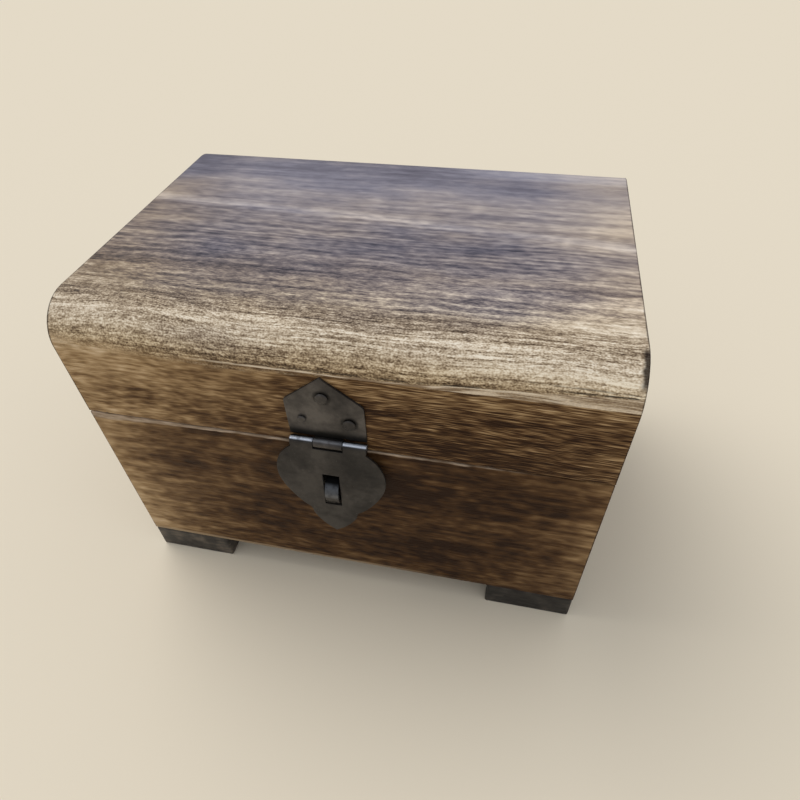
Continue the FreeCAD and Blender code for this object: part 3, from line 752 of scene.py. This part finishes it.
def curled_sheet(rows, columns, spread, keep, sheet, dents, turn, facing, pin):
    """Sheet metal with its lower end curled round a pin: its middle surface.

    A point of the sheet lies across = spread(column, row) from its middle line. Where
    row > 0 it is flat, behind the pin and row above it. Where row < 0 it is at the angle
    -row / radius round the pin. keep says which quads are there. dents are (across, row,
    size, depth). Last, the sheet is turned about X, faced about and taken to its pin."""
    row, column = np.meshgrid(rows, columns, indexing="ij")
    across = spread(column, row)
    radius = bore + sheet / 2
    angle = np.clip(-row, 0, None) / radius
    hollow = np.zeros_like(row)
    for at, up, size, depth in dents:
        hollow += depth * np.exp(-((across - at) ** 2 + (row - up) ** 2) / size**2)
    hollow *= np.clip(row / 3.0, 0, 1)
    y = radius * np.cos(angle) + hollow
    z = np.where(row > 0, row, -radius * np.sin(angle))
    turned_y = y * np.cos(turn) - z * np.sin(turn)
    turned_z = y * np.sin(turn) + z * np.cos(turn)
    points = np.stack([facing * across, facing * turned_y, turned_z], axis=-1) + pin
    return points, sheet_faces(row, across, keep)


def add_sheet(sheet, *piece):
    """Make a piece of sheet metal: give it its thickness, half to each side, and break its
    cut edges."""
    made = add_piece(*piece)
    solid = made.modifiers.new("sheet", "SOLIDIFY")
    solid.thickness = sheet * mm
    solid.offset = 0.0
    solid.use_even_offset = True
    edge = made.modifiers.new("broken_edge", "BEVEL")
    edge.width = 0.12 * mm
    edge.segments = 2
    edge.limit_method = "ANGLE"
    edge.angle_limit = np.radians(50)


def steps(*marks_and_counts):
    """Numbers that run through the marks, with the given count of steps between them."""
    marks, counts = marks_and_counts[0::2], marks_and_counts[1::2]
    runs = [np.linspace(a, b, n + 1)[:-1] for a, b, n in zip(marks, marks[1:], counts)]
    return np.concatenate(runs + [[marks[-1]]])


def middle_of(node):
    """Middle of a CAD node's box, in millimetres."""
    low, high = node_box(node)
    return (low + high) / 2


def antique_iron(name, shade=1.0, pin=None, knuckle_highlight=0.0, places=(), bridge=None):
    """Dark plated iron: brown-grey, with faintly paler patches and a few bright specks.

    A band along the upper front of the knuckles on a pin is painted highlight on plating
    worn bright, and so, less, is the front of a bridge round its middle. The sheet above
    the knuckles, the top of the bridge and a ring round the nails at the places given get
    painted shade; above the knuckles and on the bridge it also takes off the gloss."""
    iron = Finish(name, Metallic=0.6)
    spot = iron.mapped()
    cloud = iron.noise(spot, (9, 9, 9))
    mottle = iron.noise(spot, (1.6, 1.6, 1.6), detail=3, rough=0.6)
    speck = iron.noise(spot, (0.35, 0.35, 0.35))
    tone = iron.total(iron.swing(cloud, 1.5), iron.swing(mottle, 0.45), 0.5)
    tints = ((0.022, 0.0195, 0.0185), (0.045, 0.040, 0.037), (0.080, 0.072, 0.066))
    tints = [tuple(shade * part for part in tint) for tint in tints]
    colour = iron.ramp(tone, list(zip((0.2, 0.5, 0.8), tints)))
    colour = iron.mix(iron.fade(speck, 0.73, 0.79, 0, 0.7), colour, (0.30, 0.29, 0.27))
    # Painted shade: a dark ring round each nail at the places given.
    for place in places:
        ragged = iron.total(iron.measure("DISTANCE", spot, place), iron.swing(mottle, 0.8))
        colour = iron.mix(iron.fade(ragged, 2.9, 2, 0, 0.85), colour, (0.008, 0.007, 0.006))
    # The first band is painted highlight along the knuckles, on plating worn bright; the second is
    # a fainter painted highlight on the front of the bridge.
    for middle, way, near, far, amount in (
        (pin, (0, -0.28, 0.96), 1.75, 1.5, knuckle_highlight),
        (bridge, (0, -0.93, 0.37), 2.5, 4, 0.14),
    ):
        if middle is None:
            continue
        _, y, z = iron.split(iron.vector("SUBTRACT", spot, tuple(map(float, middle))))
        line = iron.join(0, y, z)
        off = iron.measure("LENGTH", line)
        facing = iron.measure("DOT_PRODUCT", iron.vector("NORMALIZE", line), way)
        worn = iron.product(
            iron.fade(off, near, far),
            iron.fade(facing, 0.86, 0.985),
            iron.fade(mottle, 0.32, 0.5, 0.6, 1),
            amount,
        )
        if middle is pin:
            # Painted shade on the sheet just above the knuckles, in the crease where the barrel
            # keeps the light off.
            painted_shade = iron.product(
                iron.fade(z, 0.6, 1.2), iron.fade(z, 5.6, 2.8), iron.fade(off, 1.5, 1.75), 0.9
            )
        else:
            # Painted shade on the top of the bridge, which lies back in shadow behind the heart.
            painted_shade = iron.fade(z, 0.6, 1.8)
        colour = iron.mix(painted_shade, colour, (0.004, 0.004, 0.004))
        # The painted shade also takes the gloss off.
        iron.give("Specular IOR Level", iron.fade(painted_shade, 0, 1, 0.5, 0.03))
        colour = iron.mix(worn, colour, (0.60, 0.65, 0.74))
    iron.give("Base Color", colour)
    iron.give("Roughness", iron.fade(mottle, 0.30, 0.70, 0.50, 0.40))
    uneven = iron.bump(cloud, 0.3)
    iron.give("Normal", iron.bump(mottle, 0.02, under=uneven))
    return iron.material


hasp_pin = middle_of("hasp_pin")
pin_low, pin_high = node_box("hasp_pin")
pin_play = 0.05
bore = (pin_high[2] - pin_low[2]) / 2 + pin_play
barrel_half = (pin_high[0] - pin_low[0]) / 2
leaf_low, leaf_high = node_box("hasp_upper_leaf")
leaf_sheet = (leaf_high[1] - leaf_low[1]) / 2 - bore
leaf_half = (leaf_high[0] - leaf_low[0]) / 2
leaf_foot = 2.0
leaf_shoulder = 14.8
leaf_peak = leaf_high[2] - hasp_pin[2]
tongue_half = 4.1
full_curl = np.radians(292)
leaf_curl = (bore + leaf_sheet / 2) * full_curl


def house_width(row):
    """Half the leaf's width: straight sides, then a gable. The shoulder is eased by a
    smooth lesser of the two."""
    slope = leaf_half * (leaf_peak - row) / (leaf_peak - leaf_shoulder)
    ease = 0.35
    return np.maximum(0, (leaf_half + slope - np.sqrt((leaf_half - slope) ** 2 + ease**2)) / 2)


def stretch_to(width, inner, share_of_inner):
    """Place columns -1 to 1 across a sheet: the inner share of them keeps its width, and
    the rest stretches to the outline."""

    def spread(column, row):
        """Where a column lies at a row."""
        whole = width(row)
        kept = np.minimum(inner, whole * 0.5)
        share = (np.abs(column) - share_of_inner) / (1 - share_of_inner)
        outer = kept + np.clip(share, 0, 1) * (whole - kept)
        return np.sign(column) * np.where(share > 0, outer, np.abs(column) / share_of_inner * kept)

    return spread


nail_low, nail_high = node_box("hasp_nails")
head_radius = 1.7
hasp_nail_places = [
    (nail_low[0] + head_radius, nail_low[2] + head_radius, 0.72),
    (nail_high[0] - head_radius, nail_low[2] + head_radius, 1.0),
    ((nail_low[0] + nail_high[0]) / 2, nail_high[2] - head_radius, 1.0),
]
leaf_face = hasp_pin[1] + bore
nail_shade_places = [(x, leaf_face, z) for x, z, _ in hasp_nail_places[1:]]
chance = np.random.default_rng(5)
leaf_dents = [
    (chance.uniform(-9, 9), chance.uniform(3, 20), chance.uniform(1.5, 4), chance.normal(0, 0.07))
    for _ in range(16)
]
tongue_share = 0.36
points, faces = curled_sheet(
    steps(
        -leaf_curl, 26, 0, 4, leaf_foot, 24, leaf_shoulder - 1, 8, leaf_shoulder + 0.6, 22,
        leaf_peak,
    ),
    steps(-1, 14, -tongue_share, 16, tongue_share, 14, 1),
    stretch_to(house_width, tongue_half, tongue_share),
    lambda across, row: (row > leaf_foot) | (across < tongue_half),
    leaf_sheet, leaf_dents, 0, 1, hasp_pin,
)
# The middle knuckle gets a dim painted highlight, with painted shade above it and round two nails.
leaf_iron = antique_iron("leaf_iron", 1.38, hasp_pin, 0.15, nail_shade_places)
add_sheet(
    leaf_sheet, "hasp_upper_leaf_sheet", leaf_iron, "lid", "hasp_upper_leaf", points, faces
)

# The heart's outline is a chain of arcs, given as (row, half width, radius). The third is
# hollow, and leads into the tip.
heart_sheet = 0.6
heart_lean = np.radians(5.5)
heart_top = 1.4
hollow_start = 25.4
hollow_end = 28.4
heart_tip = 35.4
notch_half = tongue_half + 0.25
notch_depth = bore + heart_sheet + 0.25
heart_arcs = [
    (heart_top, 10.5, 11.7),
    (15.8, 15.3, 26.0),
    (hollow_start, 8.5, -3.0),
    (hollow_end, 6.8, 18.0),
    (heart_tip, 0.0, 0.0),
]
catch_low, catch_high = node_box("catch_plate")
bridge_reach = catch_high[1] - catch_low[1]
bridge_half = 2.0
catch_below = hasp_pin[2] - (catch_low[2] + catch_high[2]) / 2
back_off = (
    catch_high[1] - hasp_pin[1] + bore * np.cos(heart_lean) + catch_below * np.sin(heart_lean)
)
bridge_chord = np.sqrt(bridge_reach**2 - back_off**2)
slot_half = bridge_half + 0.55
slot_top = catch_below - bridge_chord - 3.9
slot_end = catch_below + bridge_chord + 0.3
heart_curl = (bore + heart_sheet / 2) * full_curl


def heart_width(row):
    """Half the heart's width: on each arc, the centre's offset plus or minus
    sqrt(radius^2 - (row - centre row)^2). Above the top it is the length of the barrel."""
    width = np.full_like(row, barrel_half)
    for (row0, half0, radius), (row1, half1, _) in zip(heart_arcs, heart_arcs[1:]):
        chord = np.array([row1 - row0, half1 - half0])
        length = np.linalg.norm(chord)
        aside = np.array([chord[1], -chord[0]]) / length
        rise = np.sqrt(radius**2 - length**2 / 4) * np.sign(radius)
        centre = np.array([row0 + row1, half0 + half1]) / 2 + aside * rise
        there = (row > row0 + 1e-6) & (row <= row1 + 1e-6)
        fall = np.sqrt(np.clip(radius**2 - (row - centre[0]) ** 2, 0, None))
        width = np.where(there, centre[1] + np.sign(radius) * fall, width)
    return np.maximum(width, 0)


def heart_keep(across, row):
    """All of the heart but its slot and the notch between its knuckles."""
    notch = (across < notch_half) & (row < notch_depth)
    slot = (across < slot_half) & (row > slot_top) & (row < slot_end)
    return ~notch & ~slot


notch_share = 0.30
slot_share = notch_share * slot_half / notch_half
heart_dents = [
    (chance.uniform(-14, 14), chance.uniform(4, 32), chance.uniform(2, 5), chance.normal(0, 0.09))
    for _ in range(22)
]
points, faces = curled_sheet(
    steps(
        -heart_curl, 24, 0, 4, heart_top, 1, heart_top + 0.06, 1, notch_depth, 24, slot_top, 26,
        slot_end, 6, hollow_start, 8, hollow_end, 20, heart_tip,
    ),
    steps(-1, 22, -notch_share, 4, -slot_share, 12, slot_share, 4, notch_share, 22, 1),
    stretch_to(heart_width, notch_half, notch_share),
    heart_keep,
    heart_sheet, heart_dents, np.pi - heart_lean, 1, hasp_pin,
)
# The heart's outer knuckles get a strong painted highlight.
heart_iron = antique_iron("heart_iron", 0.70, hasp_pin, 0.95)
add_sheet(
    heart_sheet, "hasp_heart_sheet", heart_iron, "hasp", "hasp_heart_plate", points, faces
)


# --- Pins and nails ---
# Wire pins run through the knuckles. The nails are short, with domed heads. Those of the
# hasp's leaf aren't quite home, so a dark gap shows under their rims.


def turned_piece(profile, sides):
    """A surface of revolution: each (along, radius) of the profile goes round in a circle.

    Returns a grid of (along, across, up)."""
    angle = np.linspace(0, 2 * np.pi, sides, endpoint=False)
    along, radius = np.asarray(profile, float).T
    ring = radius[:, None, None] * circle(angle)
    return np.concatenate(
        [np.broadcast_to(along[:, None, None], ring.shape[:2] + (1,)), ring], axis=-1
    )


wire = Finish("wire", Metallic=0.9)
scratch = wire.noise(wire.mapped(), (3, 0.2, 0.2), detail=3)
wire.give("Base Color", wire.ramp(scratch, [(0.3, (0.16, 0.16, 0.17)), (0.7, (0.42, 0.43, 0.45))]))
wire.give("Roughness", wire.fade(scratch, 0.3, 0.7, 0.42, 0.28))
wire.give("Normal", wire.bump(scratch, 0.01))

pin_ease = 0.25
rounded_end = pin_ease * (circle(np.linspace(0, np.pi / 2, 5))[:, ::-1] - 1)
for node, body in (("hasp_pin", "lid"), ("hinge_left_pin", "root"), ("hinge_right_pin", "root")):
    low, high = node_box(node)
    right_end = rounded_end + (high[0], (high[2] - low[2]) / 2)
    left_end = right_end[::-1] * (-1, 1) + (low[0] + high[0], 0)
    grid = turned_piece([(low[0], 0.0), *left_end, *right_end, (high[0], 0.0)], 32)
    grid[..., 1:] += (low[1:] + high[1:]) / 2
    add_piece(node + "_wire", wire.material, body, node, grid)

nail_iron = antique_iron("nail_iron", 1.1)


def add_nails(node, body, places, facing, proud, seed):
    """Nails at (x, z, size) in a face of the chest, standing proud of their plate.

    The profile runs from the crown of the dome to the rim, under the rim to the shank,
    and down the shank to the point."""
    low, high = node_box(node)
    outer = low[1] if facing < 0 else high[1]
    depth = high[1] - low[1]
    head, rim, shank = 0.6, 0.12, 0.58
    turn = np.linspace(np.pi / 2, 0, 9)
    dome = np.stack(
        [proud + rim + (head - rim) * np.sin(turn), head_radius * np.cos(turn) ** 0.6], axis=-1
    )
    under = [
        (proud, head_radius - 0.1), (proud, 1.0), (proud * 0.5, 0.75), (0.0, 0.7), (-0.1, shank),
        (head + 1.2 - depth, shank), (head - depth, 0.0),
    ]
    grid = turned_piece([*dome, *under], 28)
    points, faces = [], []
    chance = np.random.default_rng(seed)
    for number, (x, z, size) in enumerate(places):
        nail = grid.copy()
        head_part = nail[..., 0] >= proud - 1e-6
        nail[head_part, 1:] *= size
        nail[..., 0] -= 0.06 * head_part * (1 + ripple(nail + 5.0 * number, (2, 2, 2), seed))
        slant = chance.normal(0, 0.05, 2)
        nail[..., 0] += head_part * (nail[..., 1:] @ slant)
        along, across, up = np.moveaxis(nail, -1, 0)
        placed = np.stack([x + across, outer + facing * (along - head), z + up], axis=-1)
        points.append(placed.reshape(-1, 3))
        faces.append(grid_faces(*grid.shape[:2]) + number * len(points[0]))
    points, faces = np.concatenate(points), np.concatenate(faces)
    add_piece(node + "_set", nail_iron, body, node, points, faces)


add_nails("hasp_nails", "lid", hasp_nail_places, -1, 0.42, 7)
low, high = node_box("catch_nails")
catch_x = (low[0] + high[0]) / 2
catch_nail_places = [(catch_x, z, 1.0) for z in (low[2] + head_radius, high[2] - head_radius)]
add_nails("catch_nails", "root", catch_nail_places, -1, 0.0, 8)


# --- Catch ---
# A small plate nailed to the body. A strip of it was slit free and pressed out into a
# round bridge, which the slot of the heart drops over.

catch_sheet = 0.8
catch_corner = 2.0
window_half = bridge_half + 0.2
strip_radius = bridge_reach - catch_sheet / 2
catch_half = (catch_high[0] - catch_low[0]) / 2
catch_tall = (catch_high[2] - catch_low[2]) / 2
rows = steps(
    -catch_tall, 8, catch_corner - catch_tall, 8, -strip_radius, 32, strip_radius, 8,
    catch_tall - catch_corner, 8, catch_tall,
)
columns = steps(
    -catch_half, 8, -window_half, 1, -bridge_half, 8, bridge_half, 1, window_half, 8, catch_half
)
row, across = np.meshgrid(rows, columns, indexing="ij")
# Round corners: near the top and bottom the sides draw in on a quarter circle.
near_end = np.clip(np.abs(row) - (catch_tall - catch_corner), 0, catch_corner)
drawn_in = catch_corner - np.sqrt(catch_corner**2 - near_end**2)
share = np.clip((np.abs(across) - window_half) / (catch_half - window_half), 0, 1)
across = across - np.sign(across) * drawn_in * share
# The strip: level rows become angles from -90 to +90 degrees round the bridge.
angle = np.clip(row / strip_radius, -1, 1) * np.pi / 2
in_strip = (np.abs(across) < bridge_half + 0.01) & (np.abs(row) < strip_radius - 1e-6)
bent = -catch_sheet / 2 - (strip_radius - catch_sheet / 2) * np.cos(angle)
y = np.where(in_strip, bent, -catch_sheet / 2)
z = np.where(in_strip, strip_radius * np.sin(angle), row)
catch_place = (catch_x, catch_high[1], (catch_low[2] + catch_high[2]) / 2)
points = np.stack([across, y, z], axis=-1) + catch_place


def catch_keep(across, row):
    """All of the plate but the two slits beside the strip."""
    return (across < bridge_half) | (across > window_half) | (np.abs(row) > strip_radius)


faces = sheet_faces(row, across, catch_keep)
# The bridge gets a faint painted highlight at its front and painted shade on its top.
catch_iron = antique_iron("catch_iron", 0.6, bridge=catch_place)
add_sheet(catch_sheet, "catch_plate_sheet", catch_iron, "root", "catch_plate", points, faces)


# --- Rear hinges ---
# Two small butt hinges of the same sheet iron, nailed to the back face. The body leaf
# has two knuckles, and the lid leaf has the one between them.

hinge_iron = antique_iron("hinge_iron")
hinge_sheet = 0.8
hinge_curl = (bore + hinge_sheet / 2) * full_curl
hinge_knuckle = 3.0
hinge_notch = hinge_knuckle + 0.25
hinge_notch_depth = bore + hinge_sheet + 0.25
hinge_corner = 1.5
low, high = node_box("hinge_left_pin")
hinge_half = (high[0] - low[0]) / 2
hinge_reach = node_box("hinge_left_lid_leaf")[1][2] - middle_of("hinge_left_pin")[2]


def hinge_width(row):
    """Half a hinge leaf: straight sides whose outer corners are quarter circles."""
    over = np.clip(row - (hinge_reach - hinge_corner), 0, hinge_corner)
    return hinge_half - hinge_corner + np.sqrt(hinge_corner**2 - over**2)


for place in ("left", "right"):
    dents = [
        (chance.uniform(-8, 8), chance.uniform(3, 8), 2.0, chance.normal(0, 0.04))
        for _ in range(6)
    ]
    for part, body, inner, side, turn, facing in (
        ("lid_leaf", "lid", hinge_knuckle, 1, 0.0, -1),
        ("body_leaf", "root", hinge_notch, -1, np.pi, 1),
    ):
        node = f"hinge_{place}_{part}"
        share = inner / hinge_half
        points, faces = curled_sheet(
            steps(
                -hinge_curl, 24, 0, 4, hinge_notch_depth, 14, hinge_reach - hinge_corner, 8,
                hinge_reach,
            ),
            steps(-1, 12, -share, 8, share, 12, 1),
            stretch_to(hinge_width, inner, share),
            lambda across, row: (row > hinge_notch_depth) | (side * across < side * inner),
            hinge_sheet, dents, turn, facing, middle_of(f"hinge_{place}_pin"),
        )
        add_sheet(hinge_sheet, node + "_sheet", hinge_iron, body, node, points, faces)

hinge_x = [middle_of(f"hinge_{place}_pin")[0] for place in ("left", "right")]
for node, body, seed in (("hinge_lid_nails", "lid", 9), ("hinge_body_nails", "root", 10)):
    low, high = node_box(node)
    apart = high[0] - head_radius - hinge_x[1]
    places = [(x + side * apart, (low[2] + high[2]) / 2, 1.0) for x in hinge_x for side in (-1, 1)]
    add_nails(node, body, places, 1, 0.0, seed)


# --- Table, light and camera ---
# A plain pale table in a pale room. Soft light like a wide window's falls from the upper
# left and a little from behind, so the front of the chest is in mild shade.

table = Finish("table", Roughness=0.9, Specular_IOR_Level=0.0)
table.shader.inputs["Base Color"].default_value = (0.78, 0.70, 0.56, 1.0)
table_mesh = bpy.data.meshes.new("table")
reach = 4.0
table_corners = rectangle((-reach, -reach), (reach, reach), 0, 1)
table_mesh.from_pydata([(*corner, 0) for corner in table_corners], [], [(0, 1, 2, 3)])
table_mesh.materials.append(table.material)
table_top = place_in_scene("table", table_mesh)

world = bpy.data.worlds.new("room")
world.use_nodes = True
room = world.node_tree.nodes["Background"]
room.inputs["Color"].default_value = (0.94, 0.96, 1.0, 1.0)
room.inputs["Strength"].default_value = 0.68
bpy.context.scene.world = world

window = bpy.data.lights.new("window", "SUN")
window.energy = 1.42
window.angle = np.radians(50)
window.color = (1.0, 0.98, 0.95)
window_light = place_in_scene("window", window)
toward = Vector((-0.62, 0.34, 0.90))
window_light.rotation_euler = toward.to_track_quat("Z", "Y").to_euler()

# The camera looks down at the front from the right of the middle, rolled a little.
eye = (0.0444, -0.15406, 0.19641)
bearing, drop, roll = np.radians([13.64, 44.57, -2.41])
turns = ((bearing, "Z"), (np.pi / 2 - drop, "X"), (roll, "Z"))
bearing_turn, drop_turn, roll_turn = (Matrix.Rotation(turn, 4, axis) for turn, axis in turns)
camera_data = bpy.data.cameras.new("camera")
camera_data.sensor_width = 36.0
camera_data.lens = 26.41
camera_data.clip_start = 0.01
camera = place_in_scene("camera", camera_data)
camera.matrix_world = Matrix.Translation(eye) @ bearing_turn @ drop_turn @ roll_turn
bpy.context.scene.camera = camera
bpy.context.scene.view_settings.view_transform = "Standard"
